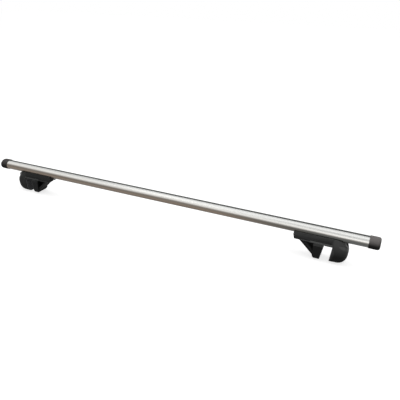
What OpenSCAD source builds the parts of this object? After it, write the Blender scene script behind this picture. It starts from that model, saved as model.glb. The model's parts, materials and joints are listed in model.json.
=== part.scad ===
// Roof rack crossbar: an oval aluminium bar on two clamp feet that grip a car's raised roof rails.
// X runs along the bar, Y across it and Z up. The origin is on the ground line under the bar's middle.

/* [Bar] */
// Length of the bar over both end caps
bar_len = 1200; // [1100:10:1400]
// Depth of the tube, front to back
tube_w = 35; // [33:1:38]
// Height of the tube
tube_h = 29; // [28:0.5:29.5]
// Thickness of the tube's wall
tube_wall = 2; // [1.5:0.1:2.5]
// Width of the mouth of each lengthwise slot
slot_w = 7; // [6:0.5:8]
// Width of the pocket behind each mouth
pocket_w = 14.4; // [13:0.2:16]
// Height of the pocket behind each mouth
pocket_h = 4.2; // [4:0.1:5]
// Thickness of metal above each pocket
pocket_lip = 3; // [2.6:0.1:3.4]
// Thickness of the pocket's inner walls
pocket_wall = 1.5; // [1:0.1:2]

/* [End caps] */
// Length of a cap outside the tube
cap_len = 27; // [20:1:34]
// How far a cap stands out around the tube
cap_rim = 1.2; // [0.6:0.2:2]
// Length of the rounded end of a cap
cap_dome = 6; // [3:1:9]
// Length of the plug inside the tube
plug_len = 22; // [12:1:30]

/* [Rubber strip] */
// Thickness of the strip's base inside the pocket
strip_base = 1.6; // [1.2:0.1:2.4]
// How far the strip lies below the tube's crown
strip_sink = 0.5; // [0.2:0.1:1]

/* [Foot] */
// Distance from the bar's end to the centre of the rail gap
foot_inset = 121; // [84:1:300]
// Height of the bar's axis above the lowest point of the hook
axis_h = 74; // [69:1:78]
// Length of the saddle from the rail gap's centre towards the bar's middle
saddle_len = 87; // [85:1:100]
// Depth of the saddle's top edge below the bar's axis
saddle_top = 6; // [4:1:8]
// Depth of the saddle's underside below the bar's axis
saddle_drop = 25; // [24.5:0.5:27]
// Width of the saddle at its top edge
saddle_w = 38; // [38:0.5:41]
// Width of the foot at the saddle's underside
foot_w = 44; // [42:1:50]
// Width of the flat under the hook
foot_toe_w = 32; // [28:1:36]
// How far the lip stands out of each side
lip_out = 2; // [1:0.5:3]
// Height of the lip beside the rail gap
lip_h = 3.4; // [2:0.2:4]
// Height of the lip along the rest of the saddle
lip_thin_h = 1.6; // [1:0.2:2]

/* [Hook] */
// Distance from the rail gap's centre to the outer end of the hook
hook_reach = 52; // [51:1:62]
// Radius of the hook's outer curve along the bar
hook_rx = 28; // [26:1:31]
// Depth of the curve's centre below the bar's axis
hook_cz = 40; // [38:1:42]
// Depth of the hook's rounded top below the bar's axis
hook_top = 14; // [12:1:16]
// How square the curve is below its centre, where 2 is a plain ellipse
hook_full = 2.4; // [2:0.1:2.8]
// How far the flat under the hook rises from the toe outwards
hook_rise = 0.5; // [0.5:0.5:3]
// Length over which the saddle's outer end curves down, seen from the side
end_rx = 34; // [32:1:38]
// Length over which the saddle's outer end rounds off, seen from above
hook_nose = 40; // [34:1:46]
// Height over which the foot's sides round off towards the ground
hook_round = 16; // [10:1:20]
// Width over which each edge of the hook rounds off
bulb_edge = 16; // [12:1:20]
// How far those edges draw in on the hook's side faces
bulb_inset = 14; // [8:1:16]

/* [Rail gap] */
// Width of the gap between the two pads, near its top
gap_w = 21; // [18:1:24]
// Depth of the gap's roof below the bar's axis
roof_drop = 27; // [26.5:0.5:29]
// How far the hook's face leans inwards from top to toe
hook_lean = 4.5; // [2:0.5:6]
// How far the jaw's face leans inwards from top to toe
jaw_lean = 7.5; // [3:0.5:8]
// Thickness of the hook's pad
hook_pad_t = 3; // [2:0.2:4]
// Thickness of the jaw's pad
jaw_pad_t = 2; // [1.5:0.1:3]
// Thickness of the pad that rests on the rail
seat_pad_t = 1.5; // [1:0.1:2]
// Length of the seat pad along the bar
seat_pad_l = 15; // [12:1:16]

/* [Jaw] */
// Length of the gripping block along the bar
jaw_l = 24; // [20:1:28]
// Width of the gripping block
jaw_w = 43; // [36:1:44]
// Width of the flat under the gripping block
jaw_toe_w = 33; // [28:1:36]
// Height over which the block's sides round off towards the ground
jaw_round = 10; // [6:1:12]
// Radius of the block's shoulder at the back
jaw_shoulder = 6; // [3:0.5:8]
// Width of the slanted rim and the sliding plate behind the block
rim_w = 37; // [30:1:40]
// Thickness of the slanted rim
rim_t = 3.6; // [2.5:0.1:5]
// Width of the web between the rim and the block
web_w = 12; // [8:1:18]
// Thickness of the plate that slides under the saddle
plate_t = 3; // [2:0.2:4]
// Distance from the block's back to the inner end of the slanted rim
rim_reach = 38; // [30:1:42]
// Height of the jaw's underside above the lowest point of the hook
jaw_lift = 2.8; // [0.6:0.2:4]
// Width of the neck that rides in the saddle's channel
neck_w = 16; // [14:1:18]
// Length of the neck along the bar
neck_l = 24; // [20:1:26]
// How far the jaw opens towards the bar's middle
jaw_open = 20; // [10:1:22]
// How far the jaw closes from rest
jaw_close = 5; // [2:0.5:6]

/* [Fasteners] */
// Thread diameter of the clamp bolt
bolt_d = 6; // [5:0.5:6]
// Head diameter of the clamp bolt
bolt_head_d = 10; // [9:0.5:10]
// Head height of the clamp bolt
bolt_head_h = 6; // [4:0.5:7]
// Depth of the clamp bolt's axis below the bar's axis
bolt_drop = 22; // [21.8:0.1:22.2]
// Depth of the clamp bolt's head behind the hook's outer end
bolt_sink = 16; // [14:0.5:18]
// Width over the flats of the hexagon socket in each head
hex_w = 5; // [3:0.5:5]
// Side of the square nut
nut_w = 10; // [9:0.5:10]
// Thickness of the square nut
nut_t = 5; // [3:0.5:6]
// Thread diameter of the two screws that hold the foot to the bar
screw_d = 5; // [4:0.5:5]
// Head diameter of those screws
screw_head_d = 8.5; // [7.5:0.5:9]
// Head height of those screws
screw_head_h = 4.6; // [3:0.2:4.8]
// Distance between those two screws
screw_gap = 12; // [11.6:0.2:13]
// Thickness of every washer
washer_t = 1.1; // [0.8:0.1:1.2]
// How far a washer stands out around a head
washer_rim = 0.6; // [0.4:0.1:0.8]
// Thickness of the threaded plate in the bar's lower slot
nut_plate_t = 3.3; // [2.5:0.1:3.4]

/* [Fits] */
// Clearance between pieces that slide past each other
slide_clear = 0.3; // [0.2:0.05:0.5]
// Radial clearance of a turning bolt
run_clear = 0.05; // [0.02:0.01:0.1]
// Clearance around a piece that is pressed or dropped in place
seat_clear = 0.1; // [0.05:0.01:0.2]

/* [Hidden] */
$fn = 48;
right = 1;
left = -1;
tube_len = bar_len - 2 * cap_len;
foot_x = bar_len / 2 - foot_inset;
pocket_top = tube_h / 2 - pocket_lip;
pocket_floor = pocket_top - pocket_h;
core_h = pocket_floor - pocket_wall;

// Faces of the rail gap, in the foot's own frame: X from the gap's centre, Z from the bar's axis
jaw_top_x = -gap_w / 2 + 2.5;
hook_top_x = jaw_top_x + gap_w;
roof_l = -6.5;
grip_top = roof_drop + 4;
toe_h = 3;
pad_inset = 0.6;
hook_cx = hook_reach - hook_rx;
hook_rz = axis_h - hook_rise - hook_cz;
seat_x = roof_l + 1 + seat_pad_l / 2;

// The jaw's outline, in the same frame
jaw_back = jaw_top_x - jaw_l - 2;
jaw_bottom = axis_h - jaw_lift;
jaw_plate_top = saddle_drop + slide_clear + 0.1;
shoulder_x = roof_l - jaw_close - 0.5;
shoulder_z = roof_drop + seat_pad_t + 1.4;
jaw_grip_top = shoulder_z + 3;
neck_r = shoulder_x;
neck_top = tube_h / 2 + slide_clear + 1.1;
channel_l = neck_r - neck_l - jaw_open - 5;

// Stations of the fasteners, in the same frame
nut_x = neck_r - neck_l / 2 - nut_t / 2;
bolt_head_x = hook_reach - bolt_sink - bolt_head_h;
bolt_end_x = channel_l + 3;
recess_d = bolt_head_d + 2 * washer_rim + 4 * seat_clear;
screw_recess_d = screw_head_d + 2 * washer_rim + 4 * seat_clear;
screw_b_x = channel_l - screw_recess_d / 2 - 1.2;
screw_a_x = screw_b_x - screw_gap;
screw_seat = saddle_drop - screw_head_h - washer_t - 0.5;
nut_plate_top = pocket_floor + pocket_h - slide_clear - nut_plate_t;

// Points around an oval of half-axes a and b
function oval(a, b, n = 96) = [for (i = [0 : n - 1]) [a * cos(360 * i / n), b * sin(360 * i / n)]];

// Points along an elliptic arc about (cx, cz)
function arc(cx, cz, rx, rz, from, to, n) =
  [for (i = [0 : n]) let (t = from + (to - from) * i / n) [cx + rx * cos(t), cz + rz * sin(t)]];

// Place on a slanted face that starts at top and leans inwards by lean over its height
function face_x(top_x, lean, top, depth) = top_x - lean * (depth - top) / (axis_h - top);

// Place on the hook's gripping face, and on the jaw's, at some depth
function hook_face(depth) = face_x(hook_top_x, hook_lean, roof_drop, depth);
function jaw_face(depth) = face_x(jaw_top_x, jaw_lean, jaw_grip_top, depth);

// A YZ outline drawn out along X from x0 to x1
module along_x(x0, x1) {
  translate([x0, 0, 0]) rotate([90, 0, 90]) linear_extrude(x1 - x0) children();
}

// An XZ outline drawn out across Y to a width
module across_y(width) {
  rotate([90, 0, 0]) linear_extrude(width, center = true) children();
}

// A cylinder along X from x0 to x1 at a height
module rod_x(x0, x1, z, d) {
  translate([x0, 0, z]) rotate([0, 90, 0]) cylinder(h = x1 - x0, d = d);
}

// Puts one foot's pieces on the right or the left of the bar
module at_foot(side) {
  if (side > 0)
    translate([foot_x, 0, axis_h]) children();
  else
    translate([-foot_x, 0, axis_h]) mirror([1, 0, 0]) children();
}

// Cross-section of one T-shaped slot with its pocket, for the upper slot
module slot_outline() {
  translate([-pocket_w / 2, pocket_floor]) square([pocket_w, pocket_h]);
  translate([-slot_w / 2, pocket_floor]) square([slot_w, tube_h]);
}

// Cross-section of the metal around one pocket
module slot_metal() {
  half = pocket_w / 2 + pocket_wall;
  translate([-half, core_h]) square([2 * half, tube_h / 2 - core_h]);
}

// Cross-section of the tube: an oval wall with a slot above and below
module tube_outline() {
  difference() {
    polygon(oval(tube_w / 2, tube_h / 2));
    difference() {
      polygon(oval(tube_w / 2 - tube_wall, tube_h / 2 - tube_wall));
      slot_metal();
      mirror([0, 1]) slot_metal();
    }
    slot_outline();
    mirror([0, 1]) slot_outline();
  }
}

// Extruded aluminium bar
module tube() {
  color("silver") translate([0, 0, axis_h]) along_x(-tube_len / 2, tube_len / 2) tube_outline();
}

// Rubber strip that fills the upper slot
module top_strip() {
  base_w = pocket_w - 2 * slide_clear;
  mouth_w = slot_w - 2 * seat_clear;
  crown = tube_h / 2 - strip_sink;
  color("black") translate([0, 0, axis_h]) along_x(-tube_len / 2, tube_len / 2) {
    translate([-base_w / 2, pocket_top - seat_clear - strip_base]) square([base_w, strip_base]);
    translate([-mouth_w / 2, pocket_top - seat_clear - strip_base])
      square([mouth_w, crown - pocket_top + seat_clear + strip_base]);
  }
}

// Moulded end cap with a plug that is pressed into the tube
module cap_shape() {
  a = tube_w / 2 + cap_rim;
  b = tube_h / 2 + cap_rim;
  plug_h = 2 * (core_h - seat_clear);
  inner = tube_h / 2 - tube_wall;
  plug_w = 2 * (tube_w / 2 - tube_wall) * sqrt(1 - pow(plug_h / 2 / inner, 2)) - 4 * seat_clear;
  hull() {
    along_x(0, cap_len - cap_dome) polygon(oval(a, b, 64));
    for (t = [30, 60, 90])
      along_x(0, cap_len - cap_dome + cap_dome * sin(t))
        polygon(oval(a - cap_dome * (1 - cos(t)), b - cap_dome * (1 - cos(t)), 64));
  }
  translate([-plug_len, -plug_w / 2, -plug_h / 2]) cube([plug_len + 1, plug_w, plug_h]);
}

module right_cap() {
  color("dimgray") translate([tube_len / 2, 0, axis_h]) cap_shape();
}

module left_cap() {
  color("dimgray") translate([-tube_len / 2, 0, axis_h]) mirror([1, 0, 0]) cap_shape();
}

// Points along the hook's lower quarter, from under the toe to the outermost point
function hook_lower(rx, rz) = [
  for (i = [0 : 14])
    [hook_cx + rx * pow(sin(90 * i / 14), 2 / hook_full), -hook_cz - rz * pow(cos(90 * i / 14), 2 / hook_full)]
];

// Points around the hook's outer curve, drawn in by some inset, from under the toe to the top
function hook_curve(inset) = concat(
  hook_lower(hook_rx - inset, hook_rz - inset),
  arc(hook_cx, -hook_cz, hook_rx - inset, hook_cz - hook_top - inset, 0, 90, 14)
);

// How far the hook's side outline draws in at a distance y from the foot's middle
function bulb_draw(y) =
  let (t = max(0, y - foot_w / 2 + bulb_edge) / bulb_edge) bulb_inset * (1 - sqrt(max(0, 1 - t * t)));

// Side outline of the saddle, the roof of the rail gap and the top of the hook
module saddle_outline() {
  intersection() {
    polygon(concat(
      [
        [-saddle_len + 1, -saddle_top],
        [-saddle_len, -saddle_top - 7],
        [-saddle_len + 3.5, -saddle_drop],
        [roof_l, -saddle_drop],
        [roof_l, -roof_drop],
        [hook_face(grip_top) + hook_pad_t + 0.5, -roof_drop],
        [hook_face(grip_top) + hook_pad_t + 0.5, -axis_h / 2]
      ],
      arc(hook_reach - end_rx, -hook_cz, end_rx - 0.15, hook_cz - saddle_top, 0, 90, 16)
    ));
    translate([-saddle_len - 1, -roof_drop - 7]) square([saddle_len + hook_reach + 1, roof_drop + 7]);
  }
}

// Side outline that leaves room for the rail and the hook's pad, and keeps the hook's toe
module grip_outline() {
  pad_top_x = hook_face(grip_top) + hook_pad_t;
  toe_x = hook_face(axis_h - toe_h);
  polygon(concat(
    [[hook_top_x - 4, -saddle_top], [hook_top_x - 4, -roof_drop]],
    arc(pad_top_x - 4, -roof_drop - 4, 4, 4, 90, 0, 6),
    [
      [toe_x + hook_pad_t, -axis_h + toe_h], [toe_x, -axis_h + toe_h], [toe_x - 0.3, -axis_h - 1],
      [hook_reach + 1, -axis_h - 1], [hook_reach + 1, -saddle_top]
    ]
  ));
}

// Rounded body of the hook, as slices across the foot that draw in towards each side face
module hook_bulb() {
  toe_x = hook_face(axis_h);
  steps = 7;
  hull() for (s = [-1, 1], i = [0 : steps]) {
    y = foot_w / 2 - bulb_edge * (1 - sin(90 * i / steps));
    draw = bulb_draw(y);
    translate([0, s * (y - 0.01), 0]) across_y(0.02) polygon(concat(
      [[toe_x - 8, -saddle_top - draw], [toe_x - 8, -axis_h + draw], [toe_x, -axis_h + draw]],
      hook_curve(draw)
    ));
  }
}

// Right half of the foot's cross-section, from the saddle's top edge down to the toe's rounded side
function half_section() = concat(
  [[saddle_w / 2, -saddle_top], [saddle_w / 2 + 2, -saddle_top - 8], [foot_w / 2, -saddle_drop + 3]],
  arc(foot_toe_w / 2, -axis_h + hook_round, (foot_w - foot_toe_w) / 2, hook_round, 0, -90, 10)
);

// Points mirrored about the middle of the foot, in reverse order so that an outline closes
function mirrored(points) = [for (i = [len(points) - 1 : -1 : 0]) [-points[i][0], points[i][1]]];

// Cross-section of the foot, wide at the saddle's underside and rounded at the toe
module foot_section() {
  polygon(concat(half_section(), mirrored(half_section())));
}

// Plan of the foot, with a rounded outer end
module foot_plan() {
  polygon(concat(
    [[-saddle_len, -foot_w / 2]],
    arc(hook_reach - hook_nose, 0, hook_nose, foot_w / 2, -90, 90, 28),
    [[-saddle_len, foot_w / 2]]
  ));
}

// Lip along the lower side edges of the saddle, thicker beside the rail gap
module foot_lips() {
  mid_x = jaw_back - 8;
  for (s = [-1, 1]) {
    translate([mid_x, s > 0 ? foot_w / 2 - 3 : -foot_w / 2 - lip_out, -saddle_drop + 0.6])
      cube([hook_top_x - mid_x, lip_out + 3, lip_h]);
    translate([-saddle_len + 6, s > 0 ? foot_w / 2 - 3 : -foot_w / 2 - lip_out / 2, -saddle_drop + 0.6])
      cube([mid_x + saddle_len - 6, lip_out / 2 + 3, lip_thin_h]);
  }
}

// Moulded foot: saddle and hook in one piece
module foot_body_shape() {
  difference() {
    union() {
      intersection() {
        across_y(foot_w) saddle_outline();
        along_x(-saddle_len, hook_reach) foot_section();
        translate([0, 0, -axis_h]) linear_extrude(axis_h) foot_plan();
      }
      intersection() {
        hook_bulb();
        across_y(foot_w + 2) grip_outline();
      }
      foot_lips();
    }
    along_x(-saddle_len - 1, hook_reach + 1)
      polygon(oval(tube_w / 2 + slide_clear, tube_h / 2 + slide_clear));
    translate([channel_l, -neck_w / 2 - slide_clear, -saddle_drop - 1])
      cube([roof_l - channel_l, neck_w + 2 * slide_clear, saddle_drop]);
    rod_x(roof_l - 1, hook_reach, -bolt_drop, bolt_d + 2 * run_clear);
    rod_x(bolt_head_x - washer_t, hook_reach + 1, -bolt_drop, recess_d);
    for (x = [screw_a_x, screw_b_x]) {
      translate([x, 0, -saddle_drop - 1]) cylinder(h = saddle_drop - screw_seat + 1, d = screw_recess_d);
      translate([x, 0, -saddle_drop]) cylinder(h = saddle_drop, d = screw_d + 2 * slide_clear);
    }
  }
}

// Rubber pad under the roof of the rail gap, which rests on the rail
module seat_pad_shape() {
  translate([seat_x - seat_pad_l / 2, -foot_w / 2 + 2, -roof_drop - seat_pad_t])
    cube([seat_pad_l, foot_w - 4, seat_pad_t]);
}

// Right side and lower edge of the hook's pad seen along the bar, just inside the hook's rounding
function pad_half() = let (half_w = foot_w / 2 - pad_inset) concat(
  [[half_w, -roof_drop]],
  [for (i = [0 : 6]) let (y = half_w - bulb_edge * i / 6)
    [y, -axis_h + max(toe_h, bulb_draw(y) + pad_inset)]]
);

// Rubber pad on the gripping face of the hook
module hook_pad_shape() {
  top_x = hook_face(grip_top);
  toe_x = hook_face(axis_h - toe_h);
  intersection() {
    across_y(foot_w) polygon([
      [top_x, -grip_top], [top_x + hook_pad_t, -grip_top],
      [toe_x + hook_pad_t, -axis_h + toe_h], [toe_x, -axis_h + toe_h]
    ]);
    along_x(0, hook_reach) polygon(concat(pad_half(), mirrored(pad_half())));
  }
}

// Side outline of the gripping block, with its face set back for the pad
module jaw_block_outline() {
  pad_top_x = jaw_face(jaw_grip_top + 2) - jaw_pad_t;
  toe_x = jaw_face(jaw_bottom - toe_h);
  shoulder = arc(jaw_back + jaw_shoulder, -jaw_plate_top - 1 - jaw_shoulder, jaw_shoulder, jaw_shoulder, 180, 90, 6);
  polygon(concat(shoulder, [
    [shoulder_x, -jaw_plate_top - 1], [shoulder_x, -shoulder_z + 1],
    [shoulder_x + 2, -shoulder_z - 0.5], [jaw_top_x - 0.2, -jaw_grip_top],
    [pad_top_x + jaw_pad_t, -jaw_grip_top - 2], [pad_top_x, -jaw_grip_top - 2],
    [toe_x - jaw_pad_t, -jaw_bottom + toe_h], [toe_x, -jaw_bottom + toe_h],
    [toe_x - 1.6, -jaw_bottom], [jaw_back + 5, -jaw_bottom], [jaw_back + 1, -jaw_bottom + 5.5]
  ]));
}

// Right half of the gripping block's cross-section
function half_jaw_section() = concat(
  [[jaw_w / 2 - 2, 0], [jaw_w / 2 - 2, -jaw_plate_top - 1], [jaw_w / 2, -jaw_plate_top - 8]],
  arc(jaw_toe_w / 2, -jaw_bottom + jaw_round, (jaw_w - jaw_toe_w) / 2, jaw_round, 0, -90, 8)
);

// Cross-section of the gripping block, rounded at the bottom
module jaw_section() {
  polygon(concat(half_jaw_section(), mirrored(half_jaw_section())));
}

// Side outline of the slanted rim between the sliding plate and the block's heel
module jaw_rim_outline() {
  polygon([
    [jaw_back - rim_reach, -jaw_plate_top], [jaw_back - rim_reach + 2 * rim_t, -jaw_plate_top],
    [jaw_back + 1, -jaw_bottom + 12 + 1.4 * rim_t], [jaw_back + 3, -jaw_bottom + 5.5],
    [jaw_back + 1, -jaw_bottom + 5.5], [jaw_back - 1.5, -jaw_bottom + 11]
  ]);
}

// Side outline of the thin web that closes the triangle behind the block
module jaw_web_outline() {
  polygon([
    [jaw_back - rim_reach + rim_t, -jaw_plate_top - 1], [jaw_back + 2, -jaw_plate_top - 1],
    [jaw_back + 2, -jaw_bottom + 12]
  ]);
}

// Moving jaw: gripping block, sliding plate, slanted rim, web and neck in one moulding
module jaw_shape() {
  pocket_w_nut = nut_w + 2 * seat_clear;
  difference() {
    union() {
      intersection() {
        across_y(jaw_w) jaw_block_outline();
        along_x(jaw_back, 0) jaw_section();
      }
      across_y(rim_w) jaw_rim_outline();
      across_y(web_w) jaw_web_outline();
      translate([jaw_back - rim_reach + 2, -rim_w / 2, -jaw_plate_top - plate_t])
        cube([shoulder_x - jaw_back + rim_reach - 2, rim_w, plate_t]);
      translate([neck_r - neck_l, -neck_w / 2, -jaw_plate_top - 2])
        cube([neck_l, neck_w, jaw_plate_top + 2 - neck_top]);
    }
    rod_x(jaw_back - rim_reach, shoulder_x + 10, -bolt_drop, bolt_d + 2 * slide_clear);
    translate([nut_x - seat_clear, -pocket_w_nut / 2, -bolt_drop - nut_w / 2 - seat_clear])
      cube([nut_t + 2 * seat_clear, pocket_w_nut, nut_w + 10]);
  }
}

// Rubber pad on the gripping face of the jaw
module jaw_pad_shape() {
  top_x = jaw_face(jaw_grip_top + 2);
  toe_x = jaw_face(jaw_bottom - toe_h);
  intersection() {
    across_y(jaw_w) polygon([
      [top_x - jaw_pad_t, -jaw_grip_top - 2], [top_x, -jaw_grip_top - 2],
      [toe_x, -jaw_bottom + toe_h], [toe_x - jaw_pad_t, -jaw_bottom + toe_h]
    ]);
    along_x(jaw_back, 0) jaw_section();
  }
}

// Square nut held in the jaw's neck, which the clamp bolt turns in
module jaw_nut_shape() {
  difference() {
    translate([nut_x, -nut_w / 2, -bolt_drop - nut_w / 2]) cube([nut_t, nut_w, nut_w]);
    rod_x(nut_x - 1, nut_x + nut_t + 1, -bolt_drop, bolt_d + 2 * run_clear);
  }
}

// Clamp bolt that draws the jaw towards the hook, with a hexagon socket in its head
module clamp_bolt_shape() {
  socket_d = hex_w / cos(30);
  difference() {
    union() {
      rod_x(bolt_end_x, bolt_head_x + 1, -bolt_drop, bolt_d);
      rod_x(bolt_head_x + run_clear, bolt_head_x + bolt_head_h, -bolt_drop, bolt_head_d);
    }
    translate([bolt_head_x + bolt_head_h / 2, 0, -bolt_drop]) rotate([0, 90, 0])
      cylinder(h = bolt_head_h, d = socket_d, $fn = 6);
  }
}

// Washer under the clamp bolt's head
module bolt_washer_shape() {
  difference() {
    rod_x(bolt_head_x - washer_t, bolt_head_x, -bolt_drop, bolt_head_d + 2 * washer_rim);
    rod_x(bolt_head_x - washer_t - 1, bolt_head_x + 1, -bolt_drop, bolt_d + 2 * run_clear);
  }
}

// Threaded plate in the bar's lower slot, which both screws pull down on
module nut_plate_shape() {
  l = screw_gap + 2 * screw_d;
  w = pocket_w - 2 * slide_clear - 0.2;
  difference() {
    translate([(screw_a_x + screw_b_x) / 2 - l / 2, -w / 2, -pocket_top + slide_clear])
      cube([l, w, nut_plate_t]);
    for (x = [screw_a_x, screw_b_x])
      translate([x, 0, -pocket_top]) cylinder(h = pocket_h + 1, d = screw_d + 2 * seat_clear);
  }
}

// Screw that holds the foot to the bar from below
module screw_shape(x) {
  head_z = -screw_seat - washer_t - screw_head_h;
  socket_d = (hex_w - 1) / cos(30);
  difference() {
    union() {
      translate([x, 0, head_z]) cylinder(h = screw_head_h, d = screw_head_d);
      translate([x, 0, head_z + 1])
        cylinder(h = -pocket_top + slide_clear + nut_plate_t - head_z - 1, d = screw_d);
    }
    translate([x, 0, head_z - 1]) cylinder(h = screw_head_h / 2 + 1, d = socket_d, $fn = 6);
  }
}

// Washer under one of those screws
module screw_washer_shape(x) {
  difference() {
    translate([x, 0, -screw_seat - washer_t]) cylinder(h = washer_t, d = screw_head_d + 2 * washer_rim);
    translate([x, 0, -screw_seat - washer_t - 1]) cylinder(h = washer_t + 2, d = screw_d + 2 * seat_clear);
  }
}

module foot_body(side) { color("#22242a") at_foot(side) foot_body_shape(); }
module seat_pad(side) { color("dimgray") at_foot(side) seat_pad_shape(); }
module hook_pad(side) { color("dimgray") at_foot(side) hook_pad_shape(); }
module jaw(side) { color("#1b1c20") at_foot(side) jaw_shape(); }
module jaw_pad(side) { color("dimgray") at_foot(side) jaw_pad_shape(); }
module jaw_nut(side) { color("gray") at_foot(side) jaw_nut_shape(); }
module clamp_bolt(side) { color("gray") at_foot(side) clamp_bolt_shape(); }
module bolt_washer(side) { color("silver") at_foot(side) bolt_washer_shape(); }
module nut_plate(side) { color("gray") at_foot(side) nut_plate_shape(); }
module bar_screw(side, x) { color("gray") at_foot(side) screw_shape(x); }
module screw_washer(side, x) { color("silver") at_foot(side) screw_washer_shape(x); }

tube();
top_strip();
right_cap();
left_cap();
foot_body(right);  // right_foot_body
seat_pad(right);  // right_seat_pad
hook_pad(right);  // right_hook_pad
jaw(right);  // right_jaw
jaw_pad(right);  // right_jaw_pad
jaw_nut(right);  // right_jaw_nut
clamp_bolt(right);  // right_clamp_bolt
bolt_washer(right);  // right_bolt_washer
nut_plate(right);  // right_nut_plate
bar_screw(right, screw_a_x);  // right_screw_a
bar_screw(right, screw_b_x);  // right_screw_b
screw_washer(right, screw_a_x);  // right_screw_washer_a
screw_washer(right, screw_b_x);  // right_screw_washer_b
foot_body(left);  // left_foot_body
seat_pad(left);  // left_seat_pad
hook_pad(left);  // left_hook_pad
jaw(left);  // left_jaw
jaw_pad(left);  // left_jaw_pad
jaw_nut(left);  // left_jaw_nut
clamp_bolt(left);  // left_clamp_bolt
bolt_washer(left);  // left_bolt_washer
nut_plate(left);  // left_nut_plate
bar_screw(left, screw_a_x);  // left_screw_a
bar_screw(left, screw_b_x);  // left_screw_b
screw_washer(left, screw_a_x);  // left_screw_washer_a
screw_washer(left, screw_b_x);  // left_screw_washer_b
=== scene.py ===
import json
import math
import bpy
from mathutils import Matrix, Vector

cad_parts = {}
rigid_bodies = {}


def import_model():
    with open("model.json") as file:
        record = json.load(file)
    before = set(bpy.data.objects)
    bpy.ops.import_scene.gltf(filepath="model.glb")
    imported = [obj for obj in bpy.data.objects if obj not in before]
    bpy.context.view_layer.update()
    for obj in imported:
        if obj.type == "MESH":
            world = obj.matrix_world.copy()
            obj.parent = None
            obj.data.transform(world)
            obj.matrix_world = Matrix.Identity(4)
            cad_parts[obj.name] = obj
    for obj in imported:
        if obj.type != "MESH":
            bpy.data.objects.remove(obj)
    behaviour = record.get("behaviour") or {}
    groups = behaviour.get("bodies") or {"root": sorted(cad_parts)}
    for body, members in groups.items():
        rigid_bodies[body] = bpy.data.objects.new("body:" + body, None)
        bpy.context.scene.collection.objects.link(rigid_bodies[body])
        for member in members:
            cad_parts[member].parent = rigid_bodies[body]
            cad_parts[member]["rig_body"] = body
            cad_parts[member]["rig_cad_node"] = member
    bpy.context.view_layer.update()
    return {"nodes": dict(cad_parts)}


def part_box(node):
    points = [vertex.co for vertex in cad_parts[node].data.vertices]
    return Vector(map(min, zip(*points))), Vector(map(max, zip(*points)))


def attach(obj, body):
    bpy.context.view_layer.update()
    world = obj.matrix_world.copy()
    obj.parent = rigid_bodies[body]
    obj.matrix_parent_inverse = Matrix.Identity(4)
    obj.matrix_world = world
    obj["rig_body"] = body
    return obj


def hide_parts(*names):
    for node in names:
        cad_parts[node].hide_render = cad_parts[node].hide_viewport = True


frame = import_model()
nodes = frame["nodes"]

# Places taken from the frame, in metres
TUBE_LOW, TUBE_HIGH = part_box("tube")
AXIS_Z = (TUBE_LOW.z + TUBE_HIGH.z) / 2
TUBE_R = (TUBE_HIGH.z - TUBE_LOW.z) / 2
HOOK_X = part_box("right_hook_pad")[0].x
LIP_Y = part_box("right_foot_body")[1].y
SIDES = ("right", "left")

# Finishing the copies of CAD nodes, in metres and radians
MERGE_GAP = 0.000002
TINY_EDGE = 0.000001
FLAT_ANGLE = math.radians(0.6)
BEVEL_ANGLE = math.radians(28)
SMOOTH_ANGLE = math.radians(32)
BEVEL_SEGMENTS = 3
BODY_RADIUS = 0.0012
JAW_RADIUS = 0.0010
PAD_RADIUS = 0.0005
THIN_RADIUS = 0.0004
SMALL_RADIUS = 0.0003

# Where a colour mix has its two colours and its result
MIX_FIRST, MIX_SECOND, MIX_RESULT = 6, 7, 2

# The bar's painted reflection: its tones from the bottom (0) to the top (1), painted bright above
# and dark below, and what is mixed into them
BAR_REFLECTION_TONES = (
    (0.12, (0.105, 0.078, 0.055, 1)),
    (0.34, (0.140, 0.098, 0.064, 1)),
    (0.46, (0.205, 0.152, 0.110, 1)),
    (0.57, (0.150, 0.122, 0.098, 1)),
    (0.65, (0.200, 0.172, 0.143, 1)),
    (0.70, (0.370, 0.345, 0.315, 1)),
    (0.765, (0.760, 0.740, 0.705, 1)),
    (0.84, (0.840, 0.835, 0.800, 1)),
    (0.91, (0.640, 0.640, 0.620, 1)),
    (0.96, (0.480, 0.485, 0.475, 1)),
)
# A cooler painted reflection on the lower half of the bar towards its right end
BAR_REFLECTION_COOL = (0.040, 0.044, 0.040, 1)
BAR_STREAK = (0.42, 0.41, 0.39, 1)
BAR_SCRATCH = (0.30, 0.29, 0.28, 1)

# Scale of the bar's noise along the bar, where it is drawn out, and across it
DIE_DRAW = 3.0
DIE_LINES = 900.0
DIE_STREAKS = 260.0

# The camera, measured from the bar's axis at its middle
IMAGE_W = 400
SENSOR_MM = 36.0
CAMERA_X = 0.572
CAMERA_Y = -1.031
CAMERA_UP = 0.564
CAMERA_YAW = math.radians(-23.6)
CAMERA_PITCH = math.radians(25.975)
CAMERA_ROLL = math.radians(-1.09)
FOCAL_PX = 450.4
FAR_CLIP = 50.0

# The studio
FLOOR_SIZE = 14.0
FLOOR_Z = -0.0005
FLOOR_TONE = (0.6, 0.6, 0.6, 1)
FLOOR_GLOW = 0.72
WORLD_DIM = 0.47
WHITE = (1, 1, 1, 1)
OVERHEAD_WATTS = 26.0
FRONT_WATTS = 6.0


def select_only(obj):
    bpy.ops.object.select_all(action="DESELECT")
    obj.select_set(True)
    bpy.context.view_layer.objects.active = obj


def add_socket(group, name, kind, direction="INPUT", value=None):
    socket = group.interface.new_socket(name=name, in_out=direction, socket_type=kind)
    if value is not None:
        socket.default_value = value


def link(tree, source, target):
    tree.links.new(source, target)


def mix_colour(tree, factor, first, second):
    """A colour mix whose ends are fixed colours or earlier sockets."""
    node = tree.nodes.new("ShaderNodeMix")
    node.data_type = "RGBA"
    link(tree, factor, node.inputs["Factor"])
    for index, value in ((MIX_FIRST, first), (MIX_SECOND, second)):
        if isinstance(value, tuple):
            node.inputs[index].default_value = value
        else:
            link(tree, value, node.inputs[index])
    return node.outputs[MIX_RESULT]


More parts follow.
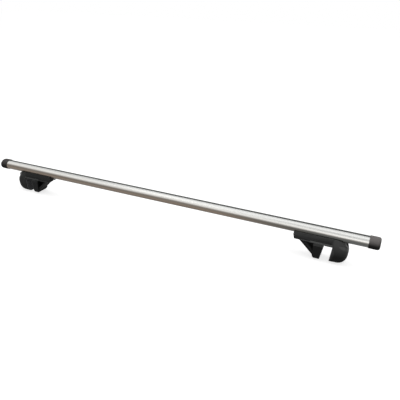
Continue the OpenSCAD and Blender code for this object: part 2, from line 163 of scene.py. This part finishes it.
def map_range(tree, value, from_min, from_max, to_min, to_max):
    """A clamped linear range from two ends to two others; the value is an earlier socket."""
    node = tree.nodes.new("ShaderNodeMapRange")
    ends = {"From Min": from_min, "From Max": from_max, "To Min": to_min, "To Max": to_max}
    for name, number in ends.items():
        node.inputs[name].default_value = number
    link(tree, value, node.inputs["Value"])
    return node.outputs["Result"]


def combine(tree, operation, first, second):
    """A sum, product or larger value of two earlier sockets."""
    node = tree.nodes.new("ShaderNodeMath")
    node.operation = operation
    link(tree, first, node.inputs[0])
    link(tree, second, node.inputs[1])
    return node.outputs[0]


def size_of(tree, value):
    """An earlier socket without its sign, so that both sides of the bar read alike."""
    node = tree.nodes.new("ShaderNodeMath")
    node.operation = "ABSOLUTE"
    link(tree, value, node.inputs[0])
    return node.outputs[0]


def place_noise(tree, scale, detail):
    """Noise on a piece's own coordinates; the scale is a number or an earlier socket."""
    place = tree.nodes.new("ShaderNodeTexCoord")
    noise = tree.nodes.new("ShaderNodeTexNoise")
    noise.inputs["Detail"].default_value = detail
    if isinstance(scale, float):
        noise.inputs["Scale"].default_value = scale
    else:
        link(tree, scale, noise.inputs["Scale"])
    link(tree, place.outputs["Object"], noise.inputs["Vector"])
    return noise.outputs["Fac"]


def facing_up(tree):
    """The upward part of a face's normal: 1 looks straight up, -1 straight down."""
    geometry = tree.nodes.new("ShaderNodeNewGeometry")
    split = tree.nodes.new("ShaderNodeSeparateXYZ")
    link(tree, geometry.outputs["Normal"], split.inputs["Vector"])
    return split.outputs["Z"]


def make_grain_group():
    """Fine moulded grain: a bump normal and a slow mottling mask."""
    group = bpy.data.node_groups.new("moulded_grain", "ShaderNodeTree")
    add_socket(group, "Grain size", "NodeSocketFloat", value=900.0)
    add_socket(group, "Depth", "NodeSocketFloat", value=0.15)
    add_socket(group, "Mottle", "NodeSocketFloat", "OUTPUT")
    add_socket(group, "Normal", "NodeSocketVector", "OUTPUT")
    inputs = group.nodes.new("NodeGroupInput")
    outputs = group.nodes.new("NodeGroupOutput")
    bump = group.nodes.new("ShaderNodeBump")
    bump.inputs["Distance"].default_value = 0.0003
    fine = place_noise(group, inputs.outputs["Grain size"], 3.0)
    link(group, fine, bump.inputs["Height"])
    link(group, inputs.outputs["Depth"], bump.inputs["Strength"])
    link(group, place_noise(group, 45.0, 5.0), outputs.inputs["Mottle"])
    link(group, bump.outputs["Normal"], outputs.inputs["Normal"])
    return group


def make_wear_and_highlight_group():
    """Scuffed edges that are partly a painted edge highlight: a mask that grows on the convex
    edges of a piece, broken up by noise.
    """
    group = bpy.data.node_groups.new("edge_scuff_and_highlight", "ShaderNodeTree")
    add_socket(group, "Amount", "NodeSocketFloat", value=0.5)
    add_socket(group, "Mask", "NodeSocketFloat", "OUTPUT")
    inputs = group.nodes.new("NodeGroupInput")
    outputs = group.nodes.new("NodeGroupOutput")
    geometry = group.nodes.new("ShaderNodeNewGeometry")
    edges = map_range(group, geometry.outputs["Pointiness"], 0.58, 0.72, 0.0, 1.0)
    broken = combine(group, "MULTIPLY", edges, place_noise(group, 160.0, 4.0))
    scaled = combine(group, "MULTIPLY", broken, inputs.outputs["Amount"])
    link(group, scaled, outputs.inputs["Mask"])
    return group


def make_top_light_group():
    """A mask for painted top light: it grows on faces that look up, where dark plastic is painted
    greyer as if lit from above.
    """
    group = bpy.data.node_groups.new("painted_top_light", "ShaderNodeTree")
    add_socket(group, "Start", "NodeSocketFloat", value=-0.4)
    add_socket(group, "Full", "NodeSocketFloat", value=0.9)
    add_socket(group, "Mask", "NodeSocketFloat", "OUTPUT")
    inputs = group.nodes.new("NodeGroupInput")
    outputs = group.nodes.new("NodeGroupOutput")
    ramp = group.nodes.new("ShaderNodeMapRange")
    ramp.interpolation_type = "SMOOTHSTEP"
    mask = group.nodes.new("ShaderNodeMath")
    mask.operation = "MULTIPLY"
    mask.use_clamp = True
    link(group, facing_up(group), ramp.inputs["Value"])
    link(group, inputs.outputs["Start"], ramp.inputs["From Min"])
    link(group, inputs.outputs["Full"], ramp.inputs["From Max"])
    link(group, ramp.outputs["Result"], mask.inputs[0])
    uneven = map_range(group, place_noise(group, 70.0, 6.0), 0.0, 1.0, 0.7, 1.25)
    link(group, uneven, mask.inputs[1])
    link(group, mask.outputs[0], outputs.inputs["Mask"])
    return group


GRAIN = make_grain_group()
SCUFF_AND_HIGHLIGHT = make_wear_and_highlight_group()
TOP_LIGHT = make_top_light_group()


def new_material(name, metallic, roughness):
    material = bpy.data.materials.new(name)
    material.use_nodes = True
    shader = material.node_tree.nodes["Principled BSDF"]
    shader.inputs["Metallic"].default_value = metallic
    shader.inputs["Roughness"].default_value = roughness
    return material, material.node_tree, shader


def place_group(tree, group, **values):
    node = tree.nodes.new("ShaderNodeGroup")
    node.node_tree = group
    for name, value in values.items():
        node.inputs[name.replace("_", " ")].default_value = value
    return node


def stretched_noise(tree, scale):
    """Noise drawn out along the bar, as the die leaves it."""
    place = tree.nodes.new("ShaderNodeTexCoord")
    stretch = tree.nodes.new("ShaderNodeMapping")
    stretch.inputs["Scale"].default_value = (DIE_DRAW, scale, scale)
    noise = tree.nodes.new("ShaderNodeTexNoise")
    noise.inputs["Scale"].default_value = 1.0
    noise.inputs["Detail"].default_value = 3.0
    link(tree, place.outputs["Object"], stretch.inputs["Vector"])
    link(tree, stretch.outputs["Vector"], noise.inputs["Vector"])
    return noise.outputs["Fac"]


def split_place(tree):
    """The X, Y and Z of a point in its piece's own coordinates."""
    place = tree.nodes.new("ShaderNodeTexCoord")
    split = tree.nodes.new("ShaderNodeSeparateXYZ")
    link(tree, place.outputs["Object"], split.inputs["Vector"])
    return split


def less_on_left(tree, grey):
    """The bar's left end is in shade in the photograph, so its plastic is darker."""
    shade = map_range(tree, split_place(tree).outputs["X"], -0.50, 0.30, 0.35, 1.0)
    return combine(tree, "MULTIPLY", grey, shade)


def painted_foot_light(tree, top_light_mask):
    """Painted light on a foot: painted sheen on its upper faces and the top of its hook, painted
    highlights on its lips, and painted shade towards the bar's left end.
    """
    split = split_place(tree)
    outwards = size_of(tree, split.outputs["X"])
    sideways = size_of(tree, split.outputs["Y"])
    # Painted sheen, lighter towards the top of the hook
    hook_sheen_by_height = map_range(tree, split.outputs["Z"], 0.022, 0.056, 0.0, 0.66)
    on_hook = map_range(tree, outwards, HOOK_X - 0.0018, HOOK_X + 0.0082, 0.0, 1.0)
    hook = combine(tree, "MULTIPLY", hook_sheen_by_height, on_hook)
    # Painted highlight along the lips of the saddle
    lip_highlight = map_range(tree, sideways, LIP_Y - 0.0018, LIP_Y - 0.0008, 0.0, 0.85)
    grey = combine(tree, "MAXIMUM", combine(tree, "MAXIMUM", top_light_mask, hook), lip_highlight)
    return less_on_left(tree, grey)


def duller_below(tree):
    """Extra roughness on faces that look down, so that they don't mirror the white floor."""
    return map_range(tree, facing_up(tree), 0.0, -0.4, 0.0, 0.35)


def moulded_plastic(name, below, above, scuff_and_highlight, roughness, shine, grain_size, grain_depth,
                    start=-0.4, full=0.9, light=None):
    """Moulded plastic or rubber with grain, and scuffed edges that are partly a painted edge
    highlight.

    It goes from a painted shade, the colour below, to a painted sheen, the colour above, as a
    face turns from start to full, by the upward part of its normal, and light may add more
    painted light and shade to that mask.
    """
    material, tree, shader = new_material(name, metallic=0.0, roughness=roughness)
    shader.inputs["Specular IOR Level"].default_value = shine
    grain = place_group(tree, GRAIN, Grain_size=grain_size, Depth=grain_depth)
    wear_and_highlight = place_group(tree, SCUFF_AND_HIGHLIGHT, Amount=0.6)
    top_light_mask = place_group(tree, TOP_LIGHT, Start=start, Full=full)
    grey = light(tree, top_light_mask.outputs["Mask"]) if light else top_light_mask.outputs["Mask"]
    # Painted shade on faces that look down, painted sheen on faces that look up
    shaded = mix_colour(tree, grey, below, above)
    mottle = grain.outputs["Mottle"]
    mottled = mix_colour(tree, map_range(tree, mottle, 0.0, 1.0, 0.0, 0.06), shaded, above)
    # Lighter edges: partly scuffs, partly a painted edge highlight
    scuffed = mix_colour(tree, wear_and_highlight.outputs["Mask"], mottled, scuff_and_highlight)
    link(tree, scuffed, shader.inputs["Base Color"])
    uneven = map_range(tree, mottle, 0.0, 1.0, roughness - 0.08, roughness + 0.1)
    link(tree, combine(tree, "ADD", uneven, duller_below(tree)), shader.inputs["Roughness"])
    link(tree, grain.outputs["Normal"], shader.inputs["Normal"])
    return material


def painted_bar_reflection(tree, split):
    """The bar's painted reflection by height: painted bright above, painted darker and warmer
    below, and a cooler painted reflection low at the right.
    """
    height = map_range(tree, split.outputs["Z"], AXIS_Z - TUBE_R, AXIS_Z + TUBE_R, 0.0, 1.0)
    # The painted reflection sits higher towards the right end and lower towards the left
    rise = map_range(tree, split.outputs["X"], 0.05, 0.50, 0.0, 0.115)
    fall = map_range(tree, split.outputs["X"], -0.20, -0.50, 0.0, -0.06)
    shift = combine(tree, "ADD", rise, fall)
    level = combine(tree, "ADD", height, shift)
    tone = tree.nodes.new("ShaderNodeValToRGB")
    lowest, highest = tone.color_ramp.elements
    lowest.position, lowest.color = BAR_REFLECTION_TONES[0]
    highest.position, highest.color = BAR_REFLECTION_TONES[-1]
    for position, colour in BAR_REFLECTION_TONES[1:-1]:
        tone.color_ramp.elements.new(position).color = colour
    link(tree, level, tone.inputs["Fac"])
    # Painted reflection: cooler on the lower half towards the right end
    along = map_range(tree, split.outputs["X"], 0.18, 0.46, 0.0, 1.0)
    below = map_range(tree, level, 0.78, 0.64, 0.0, 1.0)
    cool = combine(tree, "MULTIPLY", along, below)
    return mix_colour(tree, cool, tone.outputs["Color"], BAR_REFLECTION_COOL)


def extruded_aluminium():
    """Satin aluminium with broad streaks and fine die lines along the bar, over a painted
    reflection that is bright above and dark below.
    """
    material, tree, shader = new_material("satin_aluminium", metallic=0.6, roughness=0.34)
    fine = stretched_noise(tree, DIE_LINES)
    broad = stretched_noise(tree, DIE_STREAKS)
    shaded = painted_bar_reflection(tree, split_place(tree))
    streak = map_range(tree, broad, 0.40, 0.62, 0.0, 0.15)
    lined = mix_colour(tree, streak, shaded, BAR_STREAK)
    scratch = map_range(tree, fine, 0.0, 1.0, 0.0, 0.14)
    finished = mix_colour(tree, scratch, lined, BAR_SCRATCH)
    link(tree, finished, shader.inputs["Base Color"])
    link(tree, map_range(tree, fine, 0.0, 1.0, 0.28, 0.44), shader.inputs["Roughness"])
    bump = tree.nodes.new("ShaderNodeBump")
    bump.inputs["Strength"].default_value = 0.12
    bump.inputs["Distance"].default_value = 0.0002
    link(tree, fine, bump.inputs["Height"])
    link(tree, bump.outputs["Normal"], shader.inputs["Normal"])
    return material


def zinc_steel():
    """Zinc-plated steel of the bolts, nuts and washers, with a faint warm cast in places."""
    material, tree, shader = new_material("zinc_steel", metallic=1.0, roughness=0.32)
    grain = place_group(tree, GRAIN, Grain_size=600.0, Depth=0.08)
    cold, warm = (0.50, 0.51, 0.53, 1), (0.70, 0.69, 0.64, 1)
    colour = mix_colour(tree, grain.outputs["Mottle"], cold, warm)
    link(tree, colour, shader.inputs["Base Color"])
    link(tree, grain.outputs["Normal"], shader.inputs["Normal"])
    return material


ALUMINIUM = extruded_aluminium()
# In these plastics the colour below is painted shade on faces that look down, and the colour
# above is painted sheen on faces that look up
FOOT_PLASTIC = moulded_plastic(
    "foot_plastic", below=(0.0035, 0.0035, 0.0036, 1), above=(0.098, 0.099, 0.098, 1),
    scuff_and_highlight=(0.24, 0.24, 0.24, 1), roughness=0.38, shine=0.07, grain_size=1100.0, grain_depth=0.10,
    start=-0.08, full=0.6, light=painted_foot_light)
CAP_PLASTIC = moulded_plastic(
    "cap_plastic", below=(0.0030, 0.0028, 0.0027, 1), above=(0.165, 0.154, 0.150, 1),
    scuff_and_highlight=(0.15, 0.14, 0.14, 1), roughness=0.46, shine=0.05, grain_size=1400.0, grain_depth=0.14,
    start=-0.2, light=less_on_left)
STRIP_RUBBER = moulded_plastic(
    "strip_rubber", below=(0.012, 0.014, 0.013, 1), above=(0.030, 0.034, 0.032, 1),
    scuff_and_highlight=(0.08, 0.08, 0.08, 1), roughness=0.62, shine=0.3, grain_size=1800.0, grain_depth=0.2)
PAD_RUBBER = moulded_plastic(
    "pad_rubber", below=(0.022, 0.022, 0.023, 1), above=(0.262, 0.266, 0.274, 1),
    scuff_and_highlight=(0.18, 0.18, 0.185, 1), roughness=0.6, shine=0.2, grain_size=1600.0, grain_depth=0.2,
    light=less_on_left)
STEEL = zinc_steel()


def in_edit_mode(piece, operator, **values):
    """One mesh operator on all of a piece."""
    select_only(piece)
    bpy.ops.object.mode_set(mode="EDIT")
    bpy.ops.mesh.select_all(action="SELECT")
    operator(**values)
    bpy.ops.object.mode_set(mode="OBJECT")


def round_edges(piece, radius):
    bevel = piece.modifiers.new("Bevel", "BEVEL")
    bevel.width = radius
    bevel.segments = BEVEL_SEGMENTS
    bevel.limit_method = "ANGLE"
    bevel.angle_limit = BEVEL_ANGLE
    bevel.harden_normals = True
    bpy.ops.object.modifier_apply(modifier="Bevel")
    in_edit_mode(piece, bpy.ops.mesh.dissolve_degenerate, threshold=TINY_EDGE)


def rounded_copy(node, body, material, radius):
    """A merged copy of a CAD node that stands for it, its sharp edges rounded by the radius.

    With a radius of 0 the edges stay as they are in the CAD.
    """
    piece = nodes[node].copy()
    piece.data = nodes[node].data.copy()
    piece.name = node + "_finished"
    bpy.context.scene.collection.objects.link(piece)
    piece.parent = None
    piece.matrix_world = Matrix.Identity(4)
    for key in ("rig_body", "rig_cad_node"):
        if key in piece:
            del piece[key]
    in_edit_mode(piece, bpy.ops.mesh.remove_doubles, threshold=MERGE_GAP)
    in_edit_mode(piece, bpy.ops.mesh.dissolve_limited, angle_limit=FLAT_ANGLE)
    bpy.ops.object.shade_smooth_by_angle(angle=SMOOTH_ANGLE)
    if radius:
        round_edges(piece, radius)
    piece.data.materials.clear()
    piece.data.materials.append(material)
    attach(piece, body)
    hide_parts(node)


def make_bar():
    """The tube, its strip and its two end caps; the tube and caps keep their CAD edges."""
    rounded_copy("tube", "bar", ALUMINIUM, 0.0)
    rounded_copy("top_strip", "bar", STRIP_RUBBER, THIN_RADIUS)
    for side in SIDES:
        rounded_copy(side + "_cap", "bar", CAP_PLASTIC, 0.0)


def make_foot(side):
    """One foot with its jaw, pads, bolt and screws."""
    foot = side + "_foot"
    carrier = side + "_jaw_carrier"
    rounded_copy(side + "_foot_body", foot, FOOT_PLASTIC, BODY_RADIUS)
    rounded_copy(side + "_jaw", carrier, FOOT_PLASTIC, JAW_RADIUS)
    rounded_copy(side + "_seat_pad", foot, PAD_RUBBER, THIN_RADIUS)
    rounded_copy(side + "_hook_pad", foot, PAD_RUBBER, PAD_RADIUS)
    rounded_copy(side + "_jaw_pad", carrier, PAD_RUBBER, PAD_RADIUS)
    rounded_copy(side + "_jaw_nut", carrier, STEEL, THIN_RADIUS)
    rounded_copy(side + "_clamp_bolt", side + "_bolt", STEEL, THIN_RADIUS)
    for part in (
            "bolt_washer", "nut_plate", "screw_a", "screw_b", "screw_washer_a", "screw_washer_b"):
        rounded_copy(side + "_" + part, foot, STEEL, SMALL_RADIUS)


def make_camera():
    """A camera at the photograph's angle, turned by yaw, then pitch, then roll."""
    ahead = Vector((
        math.sin(CAMERA_YAW) * math.cos(CAMERA_PITCH),
        math.cos(CAMERA_YAW) * math.cos(CAMERA_PITCH),
        -math.sin(CAMERA_PITCH)))
    level = ahead.cross(Vector((0, 0, 1))).normalized()
    above = level.cross(ahead)
    right = math.cos(CAMERA_ROLL) * level - math.sin(CAMERA_ROLL) * above
    up = math.sin(CAMERA_ROLL) * level + math.cos(CAMERA_ROLL) * above
    data = bpy.data.cameras.new("camera")
    data.sensor_fit = "HORIZONTAL"
    data.sensor_width = SENSOR_MM
    data.lens = SENSOR_MM * FOCAL_PX / IMAGE_W
    data.clip_end = FAR_CLIP
    camera = bpy.data.objects.new("camera", data)
    bpy.context.scene.collection.objects.link(camera)
    turn = Matrix((right, up, -ahead)).transposed().to_4x4()
    camera.matrix_world = Matrix.Translation((CAMERA_X, CAMERA_Y, AXIS_Z + CAMERA_UP)) @ turn
    bpy.context.scene.camera = camera


def seen_directly(tree):
    """1 for the rays that the camera, a gloss or a clear piece sends out, else 0."""
    path = tree.nodes.new("ShaderNodeLightPath")
    seen = combine(tree, "MAXIMUM", path.outputs["Is Camera Ray"], path.outputs["Is Glossy Ray"])
    return combine(tree, "MAXIMUM", seen, path.outputs["Is Transmission Ray"])


def make_floor():
    """A pale floor that stays white to the camera and still takes the part's shadow."""
    bpy.ops.mesh.primitive_plane_add(size=FLOOR_SIZE, location=(0, 0, FLOOR_Z))
    floor = bpy.context.active_object
    floor.name = "floor"
    material, tree, shader = new_material("floor_paper", metallic=0.0, roughness=0.9)
    shader.inputs["Base Color"].default_value = FLOOR_TONE
    shader.inputs["Specular IOR Level"].default_value = 0.0
    glow = tree.nodes.new("ShaderNodeEmission")
    glow.inputs["Color"].default_value = WHITE
    glow.inputs["Strength"].default_value = FLOOR_GLOW
    both = tree.nodes.new("ShaderNodeAddShader")
    link(tree, shader.outputs[0], both.inputs[0])
    link(tree, glow.outputs[0], both.inputs[1])
    mix = tree.nodes.new("ShaderNodeMixShader")
    link(tree, seen_directly(tree), mix.inputs[0])
    link(tree, shader.outputs[0], mix.inputs[1])
    link(tree, both.outputs[0], mix.inputs[2])
    link(tree, mix.outputs[0], tree.nodes["Material Output"].inputs["Surface"])
    floor.data.materials.append(material)


def add_area(name, place, size, watts):
    """A soft box aimed at the floor under the middle of the bar."""
    data = bpy.data.lights.new(name, "AREA")
    data.shape = "RECTANGLE"
    data.size, data.size_y = size
    data.energy = watts
    lamp = bpy.data.objects.new(name, data)
    bpy.context.scene.collection.objects.link(lamp)
    lamp.location = place
    lamp.rotation_euler = (-Vector(place)).to_track_quat("-Z", "Y").to_euler()


def make_light():
    """Soft boxes above and in front, and a plain world that shows white in view and in metal."""
    world = bpy.data.worlds.new("studio")
    bpy.context.scene.world = world
    world.use_nodes = True
    tree = world.node_tree
    dim = tree.nodes["Background"]
    dim.inputs["Color"].default_value = WHITE
    dim.inputs["Strength"].default_value = WORLD_DIM
    white = tree.nodes.new("ShaderNodeBackground")
    white.inputs["Color"].default_value = WHITE
    white.inputs["Strength"].default_value = 1.0
    mix = tree.nodes.new("ShaderNodeMixShader")
    link(tree, seen_directly(tree), mix.inputs[0])
    link(tree, dim.outputs[0], mix.inputs[1])
    link(tree, white.outputs[0], mix.inputs[2])
    link(tree, mix.outputs[0], tree.nodes["World Output"].inputs["Surface"])
    add_area("overhead", place=(0.0, 0.2, 2.2), size=(3.0, 1.6), watts=OVERHEAD_WATTS)
    add_area("front", place=(0.9, -2.2, 1.4), size=(1.6, 1.0), watts=FRONT_WATTS)


make_camera()
make_bar()
for side in SIDES:
    make_foot(side)
make_floor()
make_light()
bpy.context.scene.view_settings.view_transform = "Standard"
